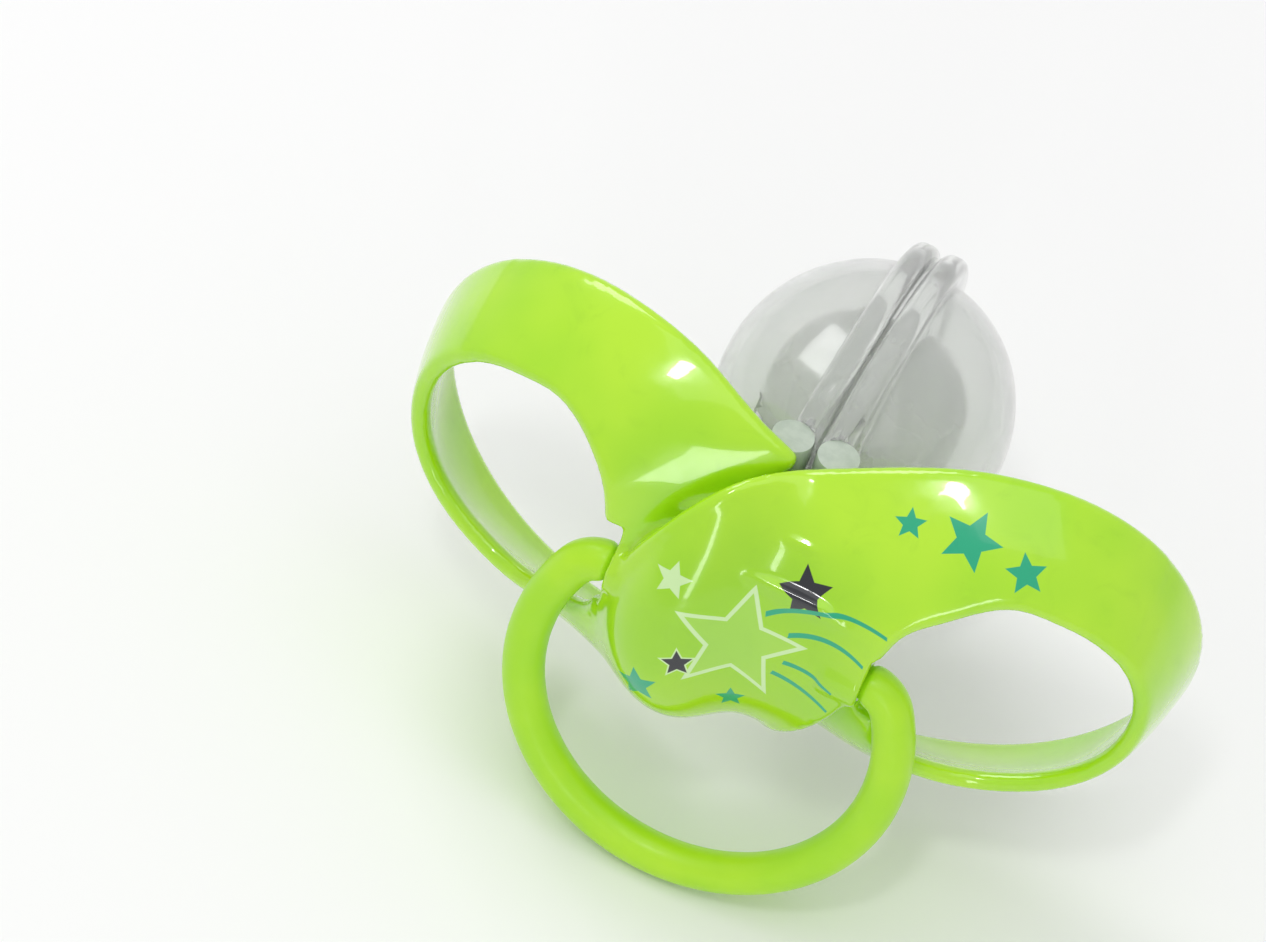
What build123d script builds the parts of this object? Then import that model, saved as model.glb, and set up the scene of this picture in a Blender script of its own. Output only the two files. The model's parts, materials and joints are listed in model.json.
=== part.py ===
from build123d import *
import math
import os

os.makedirs("parts", exist_ok=True)

# ---------------------------------------------------------------- driving dimensions, in millimetres
AXIS_Z = 25.3            # height of the shield's middle above the lowest point of the hanging ring
REAR_Y = -13.1           # Y of the shield's rear edge at its middle

# shield: two wing loops swept back from a convex cap
SWEEP = 17.3             # each wing leans back by this angle, degrees
WALL = 1.7               # ribbon wall
NOTCH_Z = 12.9           # half height of the rear edge at the middle
REAR_TOP = (16.0, 17.2)  # highest point of a wing's rear edge: out along the wing, up
REAR_TIP = 35.5          # tip of the rear edge, out along the wing
FRONT_TOP = (18.0, 11.1)     # highest point of a wing's front edge
FRONT_TIP = 30.9         # tip of the front edge
TIP_DEPTH = 8.4          # ribbon depth at the tip
MID_DEPTH = 8.1          # ribbon depth over the top of the loop
CAP_DEPTH = 10.0         # ribbon depth beside the cap
CAP_BULGE = 6.6          # how far the cap's face stands out from its two ridges

# ring handle
RING_Y = -5.7            # ring's swing axis, from the shield's rear edge
RING_R = 15.5            # centre line of the round part
RING_DROP = 8.7          # centre of the round part below the swing axis
RING_BEND = 2.8          # bend from the round part into each end peg
RING_HANG = 76.5         # the ring hangs this far below the horizontal, degrees
TUBE_R = 1.75
PEG_R = 1.35
PEG_END = 7.4            # inner end of each peg, from the middle
PEG_GAP = 0.06           # running clearance round a peg

# doors, one each side of the teat
HINGE_X = 1.95
HINGE_Y = 3.3
BARREL_R = 1.7
BARREL_TOP = 12.4
BARREL_LOW = 6.3
PIN_R = 0.6
PIN_GAP = 0.05
RIM_INNER = 0.12         # the two rims stand this far each side of the middle plane
RIM_THICK = 2.35
RIM_TIP = 39.2           # far end of the rim, from the shield's rear edge
SHELL_Y = 21.2           # middle of the half-shell
SHELL_SIZE = (12.3, 14.6, 10.2)     # half sizes across, along and up
SHELL_WALL = 0.9

# teat and what holds it
NECK = (11.6, 7.6)       # neck, across and up
NECK_GAP = 0.25
NECK_END = 3.0
BULB = (16.4, 12.0)
TEAT_TIP = 30.0
TEAT_WALL = 1.5
FLANGE = (13.0, 10.4)
FLANGE_THICK = 1.6
CRADLE = (14.0, 15.6)
CRADLE_FRONT = -3.6
CRADLE_REAR = 0.6
LUG_Z = (4.5, 6.0)

# small sizes
JOINT_STEP = 0.52        # where the fine line crosses each wing near its tip
JOINT_LAP = 0.07
JOINT_INSET = 0.05
CORE_WALL = (17.6, 18.6)
CORE_CORNER = 6.0
CORE_BLOCK = (19.4, 13.0)
CORE_BLOCK_CORNER = 4.5
CORE_FRONT = -6.5
CORE_REAR = 0.2
CORE_LAP = 0.3
BOSS_START = 7.8
SWING_REACH = 4.0
PEG_END_GAP = 0.2
BOSS_R = 2.3
BOSS_END = 11.0
SWING_ROOM = 4.0
SEAT_GAP = 0.05
CRADLE_CORNER = 5.0
LUG_R = 1.6
PIN_TOP = 11.2
SPRING_R = 0.98
SPRING_WIRE_R = 0.14
SPRING_PITCH = 0.42
SPRING_TURNS = 4
SPRING_POCKET_R = 1.28
SPRING_POCKET = 2.3
RIM_ROUND = 1.0
MOUTH_Y = 8.4
MOUTH_Z = 6.2
THROAT_Y = 13.0
THROAT_Z = 5.0

wing_along = Vector(math.cos(math.radians(SWEEP)), math.sin(math.radians(SWEEP)), 0)
wing_out = Vector(math.sin(math.radians(SWEEP)), -math.cos(math.radians(SWEEP)), 0)
up = Vector(0, 0, 1)
middle = Vector(0, REAR_Y, AXIS_Z)


def spot(x, y, z):
    """A place given from the middle of the shield's rear edge."""
    return middle + Vector(x, y, z)


def on_wing(out, height, depth):
    """A place on the +X wing: out along it, up, and forward of its rear plane."""
    return middle + wing_along * out + up * height + wing_out * depth


def turned(point):
    """The same place after half a turn about the teat's axis."""
    return Vector(-point.X, point.Y, 2 * AXIS_Z - point.Z)


def mirrored(point):
    """The same place on the other wing."""
    return Vector(-point.X, point.Y, point.Z)


# ---------------------------------------------------------------- edges of the wings
rear_edges = [
    Bezier((0, NOTCH_Z), (3.4, 14.2), (10.0, REAR_TOP[1]), REAR_TOP),
    Bezier(REAR_TOP, (28.8, REAR_TOP[1]), (REAR_TIP, 7.7), (REAR_TIP, 0)),
]
front_edges = [
    Bezier((9.4, 0), (9.4, 6.0), (13.0, FRONT_TOP[1]), FRONT_TOP),
    Bezier(FRONT_TOP, (25.5, FRONT_TOP[1]), (FRONT_TIP, 6.9), (FRONT_TIP, 0)),
]


def depth_at(out):
    """Depth of the ribbon, deepest beside the cap."""
    reach = (out - FRONT_TOP[0]) / (FRONT_TIP - FRONT_TOP[0])
    if reach > 0:
        return MID_DEPTH + (TIP_DEPTH - MID_DEPTH) * reach
    reach = (FRONT_TOP[0] - out) / (FRONT_TOP[0] - 9.4)
    return MID_DEPTH + (CAP_DEPTH - MID_DEPTH) * reach ** 1.5


def ruling(step, inner):
    """The two ends of a straight line across the ribbon, step 0 at its inner end and 1 at its outer end."""
    rear = rear_edges[0 if inner else 1] @ step
    front = front_edges[0 if inner else 1] @ step
    return on_wing(rear.X, rear.Y, 0), on_wing(front.X, front.Y, depth_at(front.X))


def ribbon_sections(rulings, bulges, inset=0.0):
    """Thin round-ended sections, one on each ruling, for a ribbon that runs through them all."""
    centres = [(first + second) / 2 for first, second in rulings]
    wall = WALL - 2 * inset
    faces = []
    for index, ((first, second), bulge) in enumerate(zip(rulings, bulges)):
        ahead = centres[min(index + 1, len(centres) - 1)]
        behind = centres[max(index - 1, 0)]
        across = (second - first).normalized()
        run = ahead - behind
        run = (run - across * run.dot(across)).normalized()
        plane = Plane(origin=centres[index], x_dir=across, z_dir=run)
        half = (second - first).length / 2 - WALL / 2
        outer = -inset
        inner = outer - wall
        with BuildSketch(plane) as section:
            with BuildLine():
                ThreePointArc((-half, outer), (0, outer + bulge), (half, outer))
                ThreePointArc((half, outer), (half + wall / 2, -WALL / 2), (half, inner))
                ThreePointArc((half, inner), (0, inner + bulge), (-half, inner))
                ThreePointArc((-half, inner), (-half - wall / 2, -WALL / 2), (-half, outer))
            make_face()
        faces.append(section.sketch.face())
    return faces


def swapped(pairs, move):
    """The rulings moved, each with its two ends changed over."""
    return [(move(second), move(first)) for first, second in pairs]


def sunk(point):
    """The same place on the lower side."""
    return Vector(point.X, point.Y, 2 * AXIS_Z - point.Z)


corner = spot(12.0, -6.6, 6.3)
to_corner = (on_wing(4.0, 14.35, 0), corner)
to_ridge = (spot(0.4, 0, NOTCH_Z), spot(10.5, -7.9, 0.2))
across_cap = (spot(-5.0, -5.2, 11.2), spot(5.0, -5.2, -11.2))
tip = ruling(1.0, False)
over_loop = [ruling(step, True) for step in (0.95, 0.62)]

# the front strand: right wing's top, across the cap, left wing's underside, round its tip to the joint line
right_top = [ruling(step, False) for step in (JOINT_STEP, 0.48, 0.4, 0.3, 0.18)] + over_loop + [to_corner, to_ridge]
left_under = [to_ridge, to_corner] + over_loop[::-1] + [ruling(step, False) for step in (0.22, 0.48, 0.74)]
left_end = [tip] + [ruling(step, False) for step in (0.8, 0.64, 0.56, JOINT_STEP)]
front_rulings = right_top + [across_cap] + swapped(left_under, turned) + swapped(left_end, mirrored)
right_top_bulges = [0.3, 0.3, 0.35, 0.35, 0.4, 0.4, 0.4, 0.6, 1.4, 3.2]
left_end_bulges = [3.2, 1.4, 0.6, 0.4, 0.4, 0.3, 0.2, 0.15, 0.2, 0.25, 0.3, 0.3]
front_bulges = right_top_bulges + [CAP_BULGE] + left_end_bulges

# the ribbons that pass behind the cap; each laps inside the front strand at its joint line
behind_cap = [
    (on_wing(4.0, 14.2, 0), on_wing(10.6, 5.6, 9.4)),
    (spot(0.4, 1.0, 12.2), on_wing(8.9, 0.6, 9.6)),
    (spot(2.0, 1.2, 9.6), on_wing(7.4, -2.0, 9.0)),
]
left_top = [ruling(step, False) for step in (JOINT_STEP + JOINT_LAP, JOINT_STEP, 0.44, 0.34, 0.2)] + over_loop + behind_cap
left_behind = swapped(left_top, mirrored)
left_bulges = [0.3, 0.3, 0.3, 0.35, 0.4, 0.4, 0.5, 0.5, 0.5, 0.5]
right_end = [ruling(step, False) for step in (JOINT_STEP - JOINT_LAP, JOINT_STEP, 0.6, 0.72, 0.86, 1.0)]
right_under = [ruling(step, False) for step in (0.74, 0.48, 0.22)] + over_loop + behind_cap
right_behind = [(second, first) for first, second in right_end] + swapped(right_under, sunk)
right_bulges = [0.3, 0.3, 0.25, 0.2, 0.2, 0.15, 0.2, 0.3, 0.4, 0.4, 0.5, 0.5, 0.5, 0.5]

core_plane = Plane(origin=spot(0, CORE_REAR, 0), x_dir=(1, 0, 0), z_dir=(0, -1, 0))
swing_axis = Plane(origin=spot(0, RING_Y, 0), x_dir=(0, 1, 0), z_dir=(1, 0, 0))

with BuildPart() as shield:
    loft(ribbon_sections(front_rulings, front_bulges))
    loft(ribbon_sections(left_behind, left_bulges, JOINT_INSET))
    loft(ribbon_sections(right_behind, right_bulges, JOINT_INSET))
    # the pocket for the hinge cradle, a wall round it, then the block that closes it behind the cap
    with BuildSketch(core_plane.offset(-2)):
        RectangleRounded(CRADLE[0] + 2 * SEAT_GAP, CRADLE[1] + 2 * SEAT_GAP, CRADLE_CORNER)
    extrude(amount=2 + CORE_REAR - CRADLE_FRONT, mode=Mode.SUBTRACT)
    with BuildSketch(core_plane):
        RectangleRounded(*CORE_WALL, CORE_CORNER)
        RectangleRounded(CRADLE[0] + 2 * SEAT_GAP, CRADLE[1] + 2 * SEAT_GAP, CRADLE_CORNER, mode=Mode.SUBTRACT)
    extrude(amount=CORE_REAR - CRADLE_FRONT + CORE_LAP)
    with BuildSketch(core_plane.offset(CORE_REAR - CRADLE_FRONT + SEAT_GAP)):
        RectangleRounded(*CORE_BLOCK, CORE_BLOCK_CORNER)
    extrude(amount=CRADLE_FRONT - SEAT_GAP - CORE_FRONT)
    # bosses for the ring's pegs
    for side in (1, -1):
        with BuildSketch(swing_axis.offset(side * BOSS_START)):
            Circle(BOSS_R)
        extrude(amount=side * (BOSS_END - BOSS_START))
    # room for the ring's bends to swing beside each boss, and a hole for each peg
    for side in (1, -1):
        with BuildSketch(swing_axis.offset(side * BOSS_END)):
            Circle(SWING_ROOM)
        extrude(amount=side * SWING_REACH, mode=Mode.SUBTRACT)
        with BuildSketch(swing_axis.offset(side * (PEG_END - PEG_END_GAP))):
            Circle(PEG_R + PEG_GAP)
        extrude(amount=side * 2 * SWING_REACH, mode=Mode.SUBTRACT)
shield.part.label = "shield"
export_step(shield.part, "parts/shield.step")

# ---------------------------------------------------------------- ring handle
hang = math.radians(RING_HANG)
ring_plane = Plane(
    origin=spot(0, RING_Y, 0), x_dir=(1, 0, 0), z_dir=Vector(0, math.sin(hang), -math.cos(hang)))
# ring_plane's y runs from the swing axis down towards the round part
bend_x = math.sqrt((RING_R - RING_BEND) ** 2 - (RING_DROP - RING_BEND) ** 2)
meet = RING_R / (RING_R - RING_BEND)
meet_x = bend_x * meet
meet_y = RING_DROP + (RING_BEND - RING_DROP) * meet
bend_mid = math.radians(-90 + 0.5 * (90 + math.degrees(math.atan2(meet_y - RING_BEND, meet_x - bend_x))))
bend_mid_x = bend_x + RING_BEND * math.cos(bend_mid)
bend_mid_y = RING_BEND + RING_BEND * math.sin(bend_mid)
with BuildPart() as ring_handle:
    with BuildLine(ring_plane) as ring_path:
        ThreePointArc((-bend_x, 0), (-bend_mid_x, bend_mid_y), (-meet_x, meet_y))
        ThreePointArc((-meet_x, meet_y), (0, RING_DROP + RING_R), (meet_x, meet_y))
        ThreePointArc((meet_x, meet_y), (bend_mid_x, bend_mid_y), (bend_x, 0))
    with BuildSketch(swing_axis.offset(-bend_x)):
        Circle(TUBE_R)
    sweep(path=ring_path.wire())
    for side in (1, -1):
        with BuildSketch(swing_axis.offset(side * PEG_END)):
            Circle(PEG_R)
        extrude(amount=side * (bend_x - PEG_END))
ring_handle.part.label = "ring_handle"
export_step(ring_handle.part, "parts/ring_handle.step")

# ---------------------------------------------------------------- hinge cradle
lug_centre = (LUG_Z[0] + LUG_Z[1]) / 2
with BuildPart() as hinge_cradle:
    with BuildSketch(core_plane.offset(-(CRADLE_REAR - CORE_REAR))):
        RectangleRounded(*CRADLE, CRADLE_CORNER - SEAT_GAP)
    extrude(amount=CRADLE_REAR - CRADLE_FRONT)
    # two lugs that carry the hinge pins, above and below the neck
    for level in (lug_centre, -lug_centre):
        with BuildSketch(Plane(origin=spot(0, 0, level - (LUG_Z[1] - LUG_Z[0]) / 2))):
            with Locations((0, (CRADLE_REAR + HINGE_Y) / 2 - 0.5)):
                Rectangle(2 * HINGE_X, HINGE_Y - CRADLE_REAR + 1)
            with Locations((HINGE_X, HINGE_Y), (-HINGE_X, HINGE_Y)):
                Circle(LUG_R)
            with Locations((0, CRADLE_REAR)):
                Rectangle(2 * (HINGE_X + LUG_R), 2.4)
        extrude(amount=LUG_Z[1] - LUG_Z[0])
    # the neck's way through and the seat for the teat's flange
    with BuildSketch(core_plane.offset(-2)):
        RectangleRounded(NECK[0] + 2 * NECK_GAP, NECK[1] + 2 * NECK_GAP, 0.48 * NECK[1])
    extrude(amount=8, mode=Mode.SUBTRACT)
    with BuildSketch(core_plane.offset(CORE_REAR - CRADLE_FRONT)):
        RectangleRounded(FLANGE[0] + 0.2, FLANGE[1] + 0.2, 2.4)
    extrude(amount=-FLANGE_THICK - 0.1, mode=Mode.SUBTRACT)
    with BuildSketch(Plane(origin=spot(0, HINGE_Y, -8))):
        with Locations((HINGE_X, 0), (-HINGE_X, 0)):
            Circle(PIN_R)
    extrude(amount=16, mode=Mode.SUBTRACT)
hinge_cradle.part.label = "hinge_cradle"
export_step(hinge_cradle.part, "parts/hinge_cradle.step")

# ---------------------------------------------------------------- hinge pins, barrels and springs
for level, level_name in ((1, "upper"), (-1, "lower")):
    for side, side_name in ((1, "right"), (-1, "left")):
        foot = Plane(origin=spot(side * HINGE_X, HINGE_Y, level * LUG_Z[0]), z_dir=(0, 0, level))
        with BuildPart() as hinge_pin:
            with BuildSketch(foot):
                Circle(PIN_R)
            extrude(amount=PIN_TOP - LUG_Z[0])
            chamfer(hinge_pin.edges().filter_by(GeomType.CIRCLE), 0.12)
        hinge_pin.part.label = f"{level_name}_{side_name}_pin"
        export_step(hinge_pin.part, f"parts/{level_name}_{side_name}_pin.step")

        barrel_foot = foot.offset(BARREL_LOW - LUG_Z[0])
        with BuildPart() as barrel:
            with BuildSketch(barrel_foot):
                Circle(BARREL_R)
            extrude(amount=BARREL_TOP - BARREL_LOW)
            with BuildSketch(barrel_foot):
                Circle(PIN_R + PIN_GAP)
            extrude(amount=PIN_TOP + 0.2 - BARREL_LOW, mode=Mode.SUBTRACT)
            if level == 1:
                with BuildSketch(barrel_foot):
                    Circle(SPRING_POCKET_R)
                extrude(amount=SPRING_POCKET, mode=Mode.SUBTRACT)
        barrel.part.label = f"{level_name}_{side_name}_barrel"
        export_step(barrel.part, f"parts/{level_name}_{side_name}_barrel.step")

for side, side_name in ((1, "right"), (-1, "left")):
    coil_foot = spot(side * HINGE_X, HINGE_Y, LUG_Z[1] + SPRING_WIRE_R + 0.02)
    with BuildPart() as spring:
        with BuildLine() as coil:
            Helix(pitch=SPRING_PITCH, height=SPRING_PITCH * SPRING_TURNS, radius=SPRING_R, center=coil_foot)
        with BuildSketch(Plane(origin=coil.line @ 0, z_dir=coil.line % 0)):
            Circle(SPRING_WIRE_R)
        sweep(path=coil.wire(), is_frenet=True)
    spring.part.label = f"{side_name}_spring"
    export_step(spring.part, f"parts/{side_name}_spring.step")

# ---------------------------------------------------------------- teat and its plug
teat_axis = Plane(origin=spot(0, 0, 0), x_dir=(1, 0, 0), z_dir=(0, -1, 0))


def teat_face(along, size, corner):
    """A rounded cross-section of the teat, this far behind the shield's rear edge."""
    with BuildSketch(teat_axis.offset(-along)) as section:
        RectangleRounded(*size, corner)
    return section.sketch.face()


teat_stations = [
    (NECK_END, NECK),
    (5.0, NECK),
    (10.5, (11.0, 7.4)),
    (15.0, (13.4, 9.0)),
    (20.5, BULB),
    (25.5, (14.6, 10.6)),
    (28.6, (9.6, 6.8)),
    (TEAT_TIP, (4.4, 2.8)),
]
with BuildPart() as nipple:
    with BuildSketch(teat_axis.offset(-CRADLE_FRONT)):
        RectangleRounded(*FLANGE, 2.3)
    extrude(amount=-FLANGE_THICK)
    with BuildSketch(teat_axis.offset(-CRADLE_FRONT)):
        RectangleRounded(*NECK, 0.48 * NECK[1])
    extrude(amount=CRADLE_FRONT - NECK_END)
    loft([teat_face(along, size, 0.48 * size[1]) for along, size in teat_stations])
    # the hollow inside, open at the flange
    hollow = []
    for along, size in teat_stations[:-1]:
        hollow.append((along, (size[0] - 2 * TEAT_WALL, size[1] - 2 * TEAT_WALL)))
    loft([teat_face(along, size, 0.47 * size[1]) for along, size in hollow], mode=Mode.SUBTRACT)
    with BuildSketch(teat_axis.offset(-CRADLE_FRONT + 0.1)):
        RectangleRounded(*hollow[0][1], 0.47 * hollow[0][1][1])
    extrude(amount=CRADLE_FRONT - NECK_END - 0.1, mode=Mode.SUBTRACT)
nipple.part.label = "nipple"
export_step(nipple.part, "parts/nipple.step")

with BuildPart() as nipple_plug:
    with BuildSketch(teat_axis.offset(-CRADLE_FRONT)):
        RectangleRounded(NECK[0] - 4.0, NECK[1] - 4.0, 0.48 * (NECK[1] - 4.0))
    extrude(amount=-4.2)
    chamfer(nipple_plug.faces().sort_by(Axis.Y)[-1].edges(), 0.4)
nipple_plug.part.label = "nipple_plug"
export_step(nipple_plug.part, "parts/nipple_plug.step")

# ---------------------------------------------------------------- doors
for side, side_name in ((1, "right"), (-1, "left")):
    rim_plane = Plane(origin=spot(side * RIM_INNER, 0, 0), x_dir=(0, 1, 0), z_dir=(1, 0, 0))
    shell_centre = Location(spot(0, SHELL_Y, 0))
    shell_inner = tuple(size - SHELL_WALL for size in SHELL_SIZE)
    outer_form = shell_centre * scale(Sphere(1, mode=Mode.PRIVATE), by=SHELL_SIZE, mode=Mode.PRIVATE)
    inner_form = shell_centre * scale(Sphere(1, mode=Mode.PRIVATE), by=shell_inner, mode=Mode.PRIVATE)
    with BuildPart() as door:
        with BuildSketch(rim_plane):
            with BuildLine():
                Bezier((HINGE_Y, BARREL_TOP), (22.0, 14.2), (38.4, 9.0), (RIM_TIP, 0))
                Bezier((RIM_TIP, 0), (38.4, -9.0), (22.0, -14.2), (HINGE_Y, -BARREL_TOP))
                Line((HINGE_Y, -BARREL_TOP), (HINGE_Y, BARREL_TOP))
            make_face()
        extrude(amount=side * RIM_THICK)
        fillet(door.edges().filter_by(GeomType.BEZIER), RIM_ROUND)
        add(outer_form)
        split(bisect_by=Plane(origin=spot(side * RIM_INNER, 0, 0), z_dir=(side, 0, 0)), keep=Keep.TOP)
        add(inner_form, mode=Mode.SUBTRACT)
        # the mouth for the neck and the lugs
        with BuildSketch(Plane(origin=spot(0, 0, -MOUTH_Z))):
            Rectangle(40, 2 * MOUTH_Y)
        extrude(amount=2 * MOUTH_Z, mode=Mode.SUBTRACT)
        with BuildSketch(Plane(origin=spot(0, 0, -THROAT_Z))):
            Rectangle(NECK[0] + 2, 2 * THROAT_Y)
        extrude(amount=2 * THROAT_Z, mode=Mode.SUBTRACT)
        # seats for the two barrels
        for level in (1, -1):
            seat = Plane(origin=spot(side * HINGE_X, HINGE_Y, level * (BARREL_LOW - 1)), z_dir=(0, 0, level))
            with BuildSketch(seat):
                Circle(BARREL_R)
            extrude(amount=9, mode=Mode.SUBTRACT)
    door.part.label = f"{side_name}_door"
    export_step(door.part, f"parts/{side_name}_door.step")
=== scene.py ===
import json
import math

import bpy
from mathutils import Matrix, Vector


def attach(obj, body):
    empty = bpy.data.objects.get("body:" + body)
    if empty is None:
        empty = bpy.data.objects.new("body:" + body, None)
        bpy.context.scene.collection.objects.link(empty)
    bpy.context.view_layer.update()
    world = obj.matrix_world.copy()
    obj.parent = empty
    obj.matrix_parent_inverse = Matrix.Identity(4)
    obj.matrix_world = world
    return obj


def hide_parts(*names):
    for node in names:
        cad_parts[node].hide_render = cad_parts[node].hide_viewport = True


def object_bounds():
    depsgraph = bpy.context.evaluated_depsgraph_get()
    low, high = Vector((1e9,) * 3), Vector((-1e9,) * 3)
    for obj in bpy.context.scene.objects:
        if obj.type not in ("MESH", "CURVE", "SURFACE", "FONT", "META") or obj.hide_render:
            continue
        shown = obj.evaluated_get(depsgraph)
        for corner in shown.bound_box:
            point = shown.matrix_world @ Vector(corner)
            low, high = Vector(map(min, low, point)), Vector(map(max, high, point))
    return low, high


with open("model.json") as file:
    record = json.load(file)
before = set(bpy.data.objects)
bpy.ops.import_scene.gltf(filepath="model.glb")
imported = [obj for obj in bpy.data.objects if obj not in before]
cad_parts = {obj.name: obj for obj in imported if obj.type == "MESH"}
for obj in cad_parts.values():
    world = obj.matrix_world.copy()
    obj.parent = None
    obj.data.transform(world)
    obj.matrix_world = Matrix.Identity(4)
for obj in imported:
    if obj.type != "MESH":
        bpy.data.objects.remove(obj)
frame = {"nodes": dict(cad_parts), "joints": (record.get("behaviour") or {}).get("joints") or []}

cad_box = [list(corner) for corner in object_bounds()]
scene = bpy.context.scene
MM = 0.001
MM_PER_METRE = 1000
BARREL_EDGE = 0.18 * MM       # width of the broken edges
CRADLE_EDGE = 0.15 * MM
PLUG_EDGE = 0.1 * MM
RING_AXIS_AHEAD = 5.7 * MM    # the ring's swing axis, ahead of the shield's rear edge
SAME_POINT = 0.002 * MM       # corners nearer than this are merged
SHIELD_GRAIN = 0.32 * MM      # voxel size of the moulded shield
RING_GRAIN = 0.25 * MM
FLOOR_GAP = 0.2 * MM
FADE = 0.03                   # soft edge of a print, in millimetres

# the shield's own place: the middle of its rear edge, on the nipple's axis
swing = [joint for joint in frame["joints"] if joint["name"] == "ring_swing"][0]["pos_m"]
rear_middle = Vector((0, swing[1] + RING_AXIS_AHEAD, swing[2]))


def place(x, y, z):
    """A point in millimetres from the middle of the shield's rear edge, in the row frame."""
    return rear_middle + Vector((x, y, z)) * MM


# ---------------------------------------------------------------- pieces

def only(piece):
    """Selects this piece and nothing else."""
    bpy.ops.object.select_all(action="DESELECT")
    piece.select_set(True)
    bpy.context.view_layer.objects.active = piece


def moulding(node, name):
    """A merged copy of a frame node, to be finished as a moulded part."""
    source = frame["nodes"][node]
    piece = bpy.data.objects.new(name, source.data.copy())
    scene.collection.objects.link(piece)
    only(piece)
    bpy.ops.object.mode_set(mode="EDIT")
    bpy.ops.mesh.select_all(action="SELECT")
    bpy.ops.mesh.remove_doubles(threshold=SAME_POINT)
    bpy.ops.object.mode_set(mode="OBJECT")
    piece.data.materials.clear()
    return piece


def melt(piece, voxel, passes):
    """Runs the piece's joins into each other as in one shot of plastic."""
    only(piece)
    skin = piece.modifiers.new("skin", "REMESH")
    skin.mode = "VOXEL"
    skin.voxel_size = voxel
    skin.use_smooth_shade = True
    bpy.ops.object.modifier_apply(modifier=skin.name)
    soften = piece.modifiers.new("soften", "SMOOTH")
    soften.factor = 0.5
    soften.iterations = passes
    bpy.ops.object.modifier_apply(modifier=soften.name)
    bpy.ops.object.shade_smooth()


def break_edges(piece, width, sharp=35):
    """Small rounded edges on a crisp part."""
    only(piece)
    edge = piece.modifiers.new("edge", "BEVEL")
    edge.width = width
    edge.segments = 3
    edge.limit_method = "ANGLE"
    edge.angle_limit = math.radians(sharp)
    bpy.ops.object.modifier_apply(modifier=edge.name)
    bpy.ops.object.shade_smooth_by_angle(angle=math.radians(sharp))


def smooth_by(piece, degrees):
    """Smooth shading up to this angle between faces."""
    only(piece)
    bpy.ops.object.shade_smooth_by_angle(angle=math.radians(degrees))


def fit_out(piece, node, body, finish):
    """Gives a finished piece its finish and its body, and hides the node it stands for."""
    piece.data.materials.clear()
    piece.data.materials.append(finish)
    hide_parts(node)
    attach(piece, body)


# ---------------------------------------------------------------- finishes

class Wire:
    """One value or colour in a finish; sums written on it add their own nodes."""

    def __init__(self, finish, socket):
        self.finish = finish
        self.socket = socket

    def maths(self, operation, *values):
        return self.finish.add("ShaderNodeMath", {"operation": operation}, dict(enumerate(values)))

    def __add__(self, other):
        return self.maths("ADD", self, other)

    def __sub__(self, other):
        return self.maths("SUBTRACT", self, other)

    def __rsub__(self, other):
        return self.maths("SUBTRACT", other, self)

    def __mul__(self, other):
        return self.maths("MULTIPLY", self, other)

    def __truediv__(self, other):
        return self.maths("DIVIDE", self, other)

    def __abs__(self):
        return self.maths("ABSOLUTE", self)

    __radd__ = __add__
    __rmul__ = __mul__

    def most(self, other):
        return self.maths("MAXIMUM", self, other)

    def rise(self, low, high):
        """0 below low, 1 above high, smooth between."""
        return self.finish.add(
            "ShaderNodeMapRange", {"interpolation_type": "SMOOTHSTEP"},
            {"Value": self, "From Min": low, "From Max": high})

    def fall(self, low, high):
        return 1 - self.rise(low, high)

    def along(self, direction):
        """How far a position reaches along a direction."""
        return self.finish.add(
            "ShaderNodeVectorMath", {"operation": "DOT_PRODUCT"}, {0: self, 1: direction}, "Value")


class Finish:
    """A material with one Principled shader."""

    def __init__(self, name, **constants):
        self.material = bpy.data.materials.new(name)
        self.material.use_nodes = True
        self.tree = self.material.node_tree
        self.shader = self.tree.nodes["Principled BSDF"]
        for socket, value in constants.items():
            self.shader.inputs[socket.replace("_", " ")].default_value = value

    def add(self, kind, settings=None, sockets=None, output=0):
        """One node of this kind: its settings first, then its sockets' values or links."""
        node = self.tree.nodes.new(kind)
        for key, value in (settings or {}).items():
            setattr(node, key, value)
        for key, value in (sockets or {}).items():
            self.feed(node.inputs[key], value)
        return Wire(self, node.outputs[output])

    def feed(self, socket, value):
        if isinstance(value, Wire):
            self.tree.links.new(value.socket, socket)
        else:
            socket.default_value = value

    def position(self):
        return self.add("ShaderNodeTexCoord", {}, {}, "Object")

    def facing(self):
        return self.add("ShaderNodeNewGeometry", {}, {}, "Normal")

    def noise(self, scale, detail=3.0, roughness=0.5, warp=0.0):
        sockets = {
            "Vector": self.position(), "Scale": scale, "Detail": detail,
            "Roughness": roughness, "Distortion": warp}
        return self.add("ShaderNodeTexNoise", {}, sockets, 0)

    def blend(self, share, first, second):
        """Colour first where share is 0, second where it is 1."""
        return self.add(
            "ShaderNodeMix", {"data_type": "RGBA"}, {0: share, 6: first, 7: second}, 2)

    def bump(self, height, distance, strength=1.0):
        return self.add(
            "ShaderNodeBump", {}, {"Height": height, "Distance": distance, "Strength": strength})

    def set(self, **wires):
        for socket, value in wires.items():
            self.feed(self.shader.inputs[socket.replace("_", " ")], value)
        return self.material


LEAF = (0.38, 0.76, 0.006, 1)
LEAF_DEEP = (0.22, 0.52, 0.003, 1)
LEAF_PALE = (0.48, 0.83, 0.015, 1)
TEAL = (0.0, 0.40, 0.20, 1)
INK = (0.006, 0.008, 0.014, 1)
MINT = (0.62, 0.86, 0.42, 1)


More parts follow.
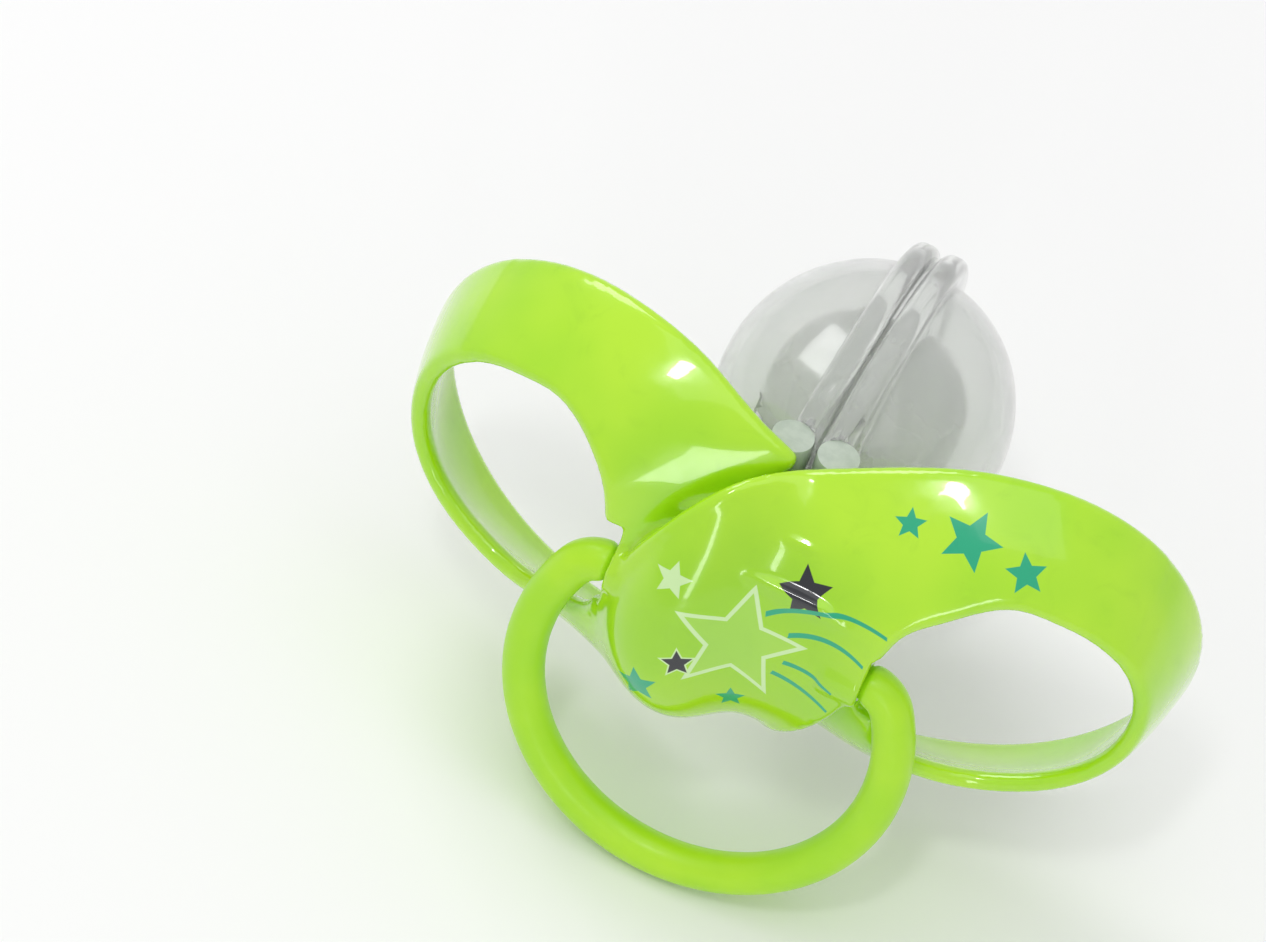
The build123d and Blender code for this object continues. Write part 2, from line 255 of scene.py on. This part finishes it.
class Sticker:
    """A flat patch of the shield that prints are laid out on, in millimetres."""

    def __init__(self, finish, centre, outward, upward=(0, 0, 1), reach=3.0):
        normal = Vector(outward).normalized()
        across = Vector(upward).cross(normal).normalized()
        over = normal.cross(across)
        place_here = finish.position()
        self.u = place_here.along(across) * MM_PER_METRE - centre.dot(across) * MM_PER_METRE
        self.v = place_here.along(over) * MM_PER_METRE - centre.dot(over) * MM_PER_METRE
        depth = place_here.along(normal) * MM_PER_METRE - centre.dot(normal) * MM_PER_METRE
        self.guard = depth.rise(-reach - 0.1, -reach) * finish.facing().along(normal).rise(0.1, 0.2)

    def star_edge(self, u, v, size, tilt, waist=0.46):
        """Distance outside a five-pointed star's outline, in millimetres."""
        x = self.u - u
        y = self.v - v
        turn = x.maths("ARCTAN2", x, y) + math.radians(tilt) + 4 * math.pi
        fold = turn.maths("PINGPONG", turn, math.pi / 5)
        out = x.maths("SQRT", x * x + y * y)
        waist_x = size * waist * math.cos(math.pi / 5) - size
        waist_y = size * waist * math.sin(math.pi / 5)
        length = math.hypot(waist_x, waist_y)
        along = out * fold.maths("COSINE", fold) - size
        aside = out * fold.maths("SINE", fold)
        return (along * waist_y - aside * waist_x) / length

    def star(self, u, v, size, tilt, waist=0.46):
        return self.star_edge(u, v, size, tilt, waist).fall(-FADE, FADE) * self.guard

    def star_line(self, u, v, size, tilt, width, waist=0.46):
        edge = self.star_edge(u, v, size, tilt, waist)
        return abs(edge + width / 2).fall(width / 2 - FADE, width / 2 + FADE) * self.guard

    def trail(self, start, end, sag, width):
        """A thin curved stripe that tapers to its end."""
        run = Vector((end[0] - start[0], end[1] - start[1]))
        length = run.length
        along = ((self.u - start[0]) * run.x + (self.v - start[1]) * run.y) / (length * length)
        aside = ((self.v - start[1]) * run.x - (self.u - start[0]) * run.y) / length
        line = abs(aside - along * (1 - along) * 4 * sag)
        half = width / 2 * (1 - along * 0.35)
        stripe = (line - half).fall(-0.04, 0.04)
        return stripe * along.rise(-0.005, 0.005) * along.fall(0.995, 1.005) * self.guard


def shield_finish():
    """Glossy green moulded plastic with the printed stars and trails, and painted shade darkening the front
    of the cap.
    """
    finish = Finish("shield_green", IOR=1.5, Coat_IOR=1.5, Coat_Roughness=0.03, Subsurface_Scale=0.002)
    shades = finish.blend(finish.noise(90, 2).rise(0.3, 0.7), LEAF, LEAF_PALE)
    streaks = finish.noise(260, 4, 0.6, 1.2)
    shades = finish.blend(streaks.rise(0.52, 0.8) * 0.16, shades, LEAF_DEEP)
    cap = Sticker(finish, place(0.5, -11.0, 1.5), (0.1, -0.95, 0.3), reach=8.0)
    # painted shade: the cap's front-facing face is darkened toward its middle with the deep green, standing
    # in for the shade it sits in
    painted_cap_shade = (cap.u * cap.u + cap.v * cap.v).fall(10, 190) * finish.facing().along((0, -1, 0)).rise(0.2, 0.7)
    shades = finish.blend(painted_cap_shade * 0.34, shades, LEAF_DEEP)
    big = (0.6, -0.1)
    colour = finish.blend(cap.star(4.3, 6.2, 2.2, 17), shades, INK)
    teal = cap.trail((1.9, 3.2), (11.4, 5.6), 1.1, 0.5)
    teal = teal.most(cap.trail((4.1, 2.1), (10.4, 2.3), 0.9, 0.5))
    teal = teal.most(cap.trail((4.4, -0.5), (8.8, -1.3), 0.4, 0.45))
    teal = teal.most(cap.trail((3.8, -1.9), (8.9, -3.6), 0.4, 0.45))
    teal = teal.most(cap.star(-5.8, -6.6, 1.8, 20)).most(cap.star(1.4, -6.2, 1.2, 10))
    colour = finish.blend(teal, colour, TEAL)
    colour = finish.blend(cap.star_line(*big, 5.6, 1, 0.34), colour, MINT)
    colour = finish.blend(cap.star(*big, 5.3, 1) * 0.12, colour, MINT)
    colour = finish.blend(cap.star(-5.7, 3.9, 1.6, 0), colour, MINT)
    colour = finish.blend(cap.star(-3.3, -3.1, 1.55, 15), colour, MINT)
    colour = finish.blend(cap.star(-3.3, -3.1, 1.25, 15), colour, INK)
    wing = Sticker(finish, place(13.9, -0.8, 13.7), (0.09, -0.6, 0.79), reach=2.5)
    stars = wing.star(-4.4, 0.3, 1.3, 10).most(wing.star(0.4, 0.5, 2.5, -12))
    stars = stars.most(wing.star(5.2, -0.6, 1.7, 22))
    colour = finish.blend(stars, colour, TEAL)
    wear = finish.noise(700, 5, 0.7)
    tiny = finish.noise(45, 1) * 0.7 + finish.noise(2400, 2) * 0.05
    return finish.set(
        Base_Color=colour, Roughness=wear.rise(0.2, 0.9) * 0.09 + 0.13,
        Coat_Weight=wear.fall(0.4, 0.95) * 0.25 + 0.55, Normal=finish.bump(tiny, 0.00006, 0.35))


def ring_finish():
    """The ring's green, with a softer sheen from handling."""
    finish = Finish("ring_green", IOR=1.5, Coat_IOR=1.45, Coat_Roughness=0.25, Subsurface_Scale=0.002)
    shades = finish.blend(finish.noise(120, 3).rise(0.3, 0.75), LEAF, LEAF_PALE)
    rubbed = finish.noise(900, 6, 0.65)
    shades = finish.blend(rubbed.rise(0.6, 0.9) * 0.14, shades, LEAF_DEEP)
    grain = finish.noise(3200, 3, 0.6)
    return finish.set(
        Base_Color=shades, Roughness=rubbed.rise(0.2, 0.85) * 0.16 + 0.34,
        Coat_Weight=rubbed.fall(0.4, 0.9) * 0.2 + 0.1, Normal=finish.bump(grain, 0.00002, 0.5))


def clear_finish():
    """Clear moulded plastic of the doors, with faint flow marks and handling haze."""
    finish = Finish("door_clear", IOR=1.4, Transmission_Weight=0.8, Coat_Roughness=0.04)
    haze = finish.noise(60, 4, 0.6, 0.8)
    colour = finish.blend(haze.rise(0.35, 0.75), (0.99, 1.0, 0.985, 1), (0.95, 0.975, 0.95, 1))
    marks = finish.noise(500, 5, 0.7)
    return finish.set(
        Base_Color=colour, Roughness=marks.rise(0.35, 0.85) * 0.16 + 0.1,
        Coat_Weight=haze.fall(0.3, 0.9) * 0.4 + 0.3,
        Normal=finish.bump(haze * 0.8 + marks * 0.06, 0.0002, 0.4))


def silicone_finish():
    """Soft clear silicone, a little cloudy."""
    finish = Finish("nipple_silicone", IOR=1.35, Transmission_Weight=0.75, Subsurface_Scale=0.004)
    cloud = finish.noise(140, 3, 0.5)
    colour = finish.blend(cloud.rise(0.3, 0.7), (0.98, 0.99, 0.975, 1), (0.93, 0.95, 0.925, 1))
    return finish.set(
        Base_Color=colour, Roughness=cloud.rise(0.2, 0.8) * 0.12 + 0.22,
        Normal=finish.bump(cloud + finish.noise(1500, 2) * 0.1, 0.00008, 0.4))


def barrel_finish():
    """Grey-green hinge barrels in satin plastic."""
    finish = Finish("barrel_pale", IOR=1.48, Transmission_Weight=0.12)
    speck = finish.noise(800, 4, 0.6)
    colour = finish.blend(speck.rise(0.3, 0.7), (0.60, 0.68, 0.58, 1), (0.50, 0.58, 0.49, 1))
    return finish.set(
        Base_Color=colour, Roughness=speck.rise(0.2, 0.8) * 0.15 + 0.28,
        Normal=finish.bump(speck, 0.00002, 0.5))


def cradle_finish():
    """Pale matt plastic behind the shield."""
    finish = Finish("cradle_pale", IOR=1.48)
    speck = finish.noise(900, 4, 0.6)
    colour = finish.blend(speck.rise(0.3, 0.7), (0.78, 0.84, 0.74, 1), (0.70, 0.77, 0.66, 1))
    return finish.set(
        Base_Color=colour, Roughness=speck.rise(0.2, 0.8) * 0.12 + 0.36,
        Normal=finish.bump(speck, 0.00002, 0.6))


def steel_finish(name, rough):
    """Drawn steel with fine marks round it."""
    finish = Finish(name, Metallic=1.0)
    drawn = finish.noise(4000, 3, 0.6)
    colour = finish.blend(drawn.rise(0.3, 0.7), (0.66, 0.66, 0.66, 1), (0.54, 0.54, 0.55, 1))
    return finish.set(
        Base_Color=colour, Roughness=drawn.rise(0.2, 0.8) * 0.15 + rough,
        Normal=finish.bump(drawn, 0.000005, 0.5))


def plug_finish():
    """White plug inside the nipple's mouth."""
    finish = Finish("plug_white", IOR=1.47)
    speck = finish.noise(1200, 3)
    colour = finish.blend(speck.rise(0.3, 0.7), (0.86, 0.87, 0.84, 1), (0.78, 0.80, 0.76, 1))
    return finish.set(
        Base_Color=colour, Roughness=speck.rise(0.2, 0.8) * 0.1 + 0.4, Normal=finish.bump(speck, 0.00001))


# ---------------------------------------------------------------- the pacifier

shield = moulding("shield", "moulded_shield")
melt(shield, SHIELD_GRAIN, 6)
fit_out(shield, "shield", "shield_body", shield_finish())

ring = moulding("ring_handle", "moulded_ring")
melt(ring, RING_GRAIN, 8)
fit_out(ring, "ring_handle", "ring", ring_finish())

clear = clear_finish()
barrel_green = barrel_finish()
pin_steel = steel_finish("pin_steel", 0.22)
for side in ("right", "left"):
    cover = side + "_cover"
    door = moulding(side + "_door", "clear_" + side + "_door")
    smooth_by(door, 32)
    fit_out(door, side + "_door", cover, clear)
    for level in ("upper", "lower"):
        barrel = moulding(level + "_" + side + "_barrel", level + "_" + side + "_hinge_barrel")
        break_edges(barrel, BARREL_EDGE)
        fit_out(barrel, level + "_" + side + "_barrel", cover, barrel_green)
        pin = moulding(level + "_" + side + "_pin", level + "_" + side + "_hinge_pin")
        smooth_by(pin, 35)
        fit_out(pin, level + "_" + side + "_pin", "shield_body", pin_steel)

spring_steel = steel_finish("spring_steel", 0.3)
for side in ("right", "left"):
    spring = moulding(side + "_spring", side + "_coil_spring")
    smooth_by(spring, 50)
    fit_out(spring, side + "_spring", "shield_body", spring_steel)

cradle = moulding("hinge_cradle", "moulded_cradle")
break_edges(cradle, CRADLE_EDGE)
fit_out(cradle, "hinge_cradle", "shield_body", cradle_finish())

nipple = moulding("nipple", "silicone_nipple")
smooth_by(nipple, 40)
fit_out(nipple, "nipple", "shield_body", silicone_finish())

plug = moulding("nipple_plug", "moulded_plug")
break_edges(plug, PLUG_EDGE)
fit_out(plug, "nipple_plug", "shield_body", plug_finish())

# ---------------------------------------------------------------- studio

low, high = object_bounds()
bpy.ops.object.select_all(action="DESELECT")
bpy.ops.mesh.primitive_plane_add(size=3.0, location=(0, 0, cad_box[0][2] - FLOOR_GAP))
floor = bpy.context.active_object
floor.name = "table_top"
paper = Finish("table_paper", Roughness=0.7)
floor.data.materials.append(paper.set(Base_Color=paper.blend(
    paper.noise(8, 2), (0.93, 0.93, 0.93, 1), (0.95, 0.95, 0.95, 1))))


def softbox(name, where, target, width, height, power):
    """A rectangular lamp turned to the object."""
    light = bpy.data.lights.new(name, "AREA")
    light.shape = "RECTANGLE"
    light.size = width
    light.size_y = height
    light.energy = power
    lamp = bpy.data.objects.new(name, light)
    scene.collection.objects.link(lamp)
    lamp.location = where
    lamp.rotation_euler = (Vector(target) - Vector(where)).to_track_quat("-Z", "Y").to_euler()


middle = (Vector(low) + Vector(high)) / 2
softbox("side_key", middle + Vector((-0.35, 0.22, 0.55)), middle, 0.30, 0.30, 1.1)
softbox("window", middle + Vector((-0.054, -0.28, 0.53)), middle, 0.045, 0.08, 0.35)
softbox("overhead", middle + Vector((0.10, -0.15, 0.75)), middle, 0.6, 0.6, 0.75)
softbox("front_strip", middle + Vector((0.16, -0.58, 0.14)), middle, 0.05, 0.30, 0.25)

world = bpy.data.worlds.new("studio")
world.use_nodes = True
world.node_tree.nodes["Background"].inputs["Color"].default_value = (1.0, 1.0, 1.0, 1)
world.node_tree.nodes["Background"].inputs["Strength"].default_value = 0.66
scene.world = world
scene.view_settings.view_transform = "Standard"

# the camera stands to the front and high, rolled a little
turn = math.radians(11.513)
tip = math.radians(47.091)
roll = math.radians(16.461)
ahead = Vector((-math.sin(turn) * math.cos(tip), math.cos(turn) * math.cos(tip), -math.sin(tip)))
level_right = Vector((math.cos(turn), math.sin(turn), 0))
level_up = level_right.cross(ahead)
right = level_right * math.cos(roll) + level_up * math.sin(roll)
upward = level_up * math.cos(roll) - level_right * math.sin(roll)
lens = bpy.data.cameras.new("camera")
lens.sensor_width = 36
lens.lens = 135.4
lens.clip_start = 0.01
camera = bpy.data.objects.new("camera", lens)
scene.collection.objects.link(camera)
stand = Matrix.Translation(place(38.2, -249.7, 278.7))
camera.matrix_world = stand @ Matrix((right, upward, -ahead)).transposed().to_4x4()
scene.camera = camera
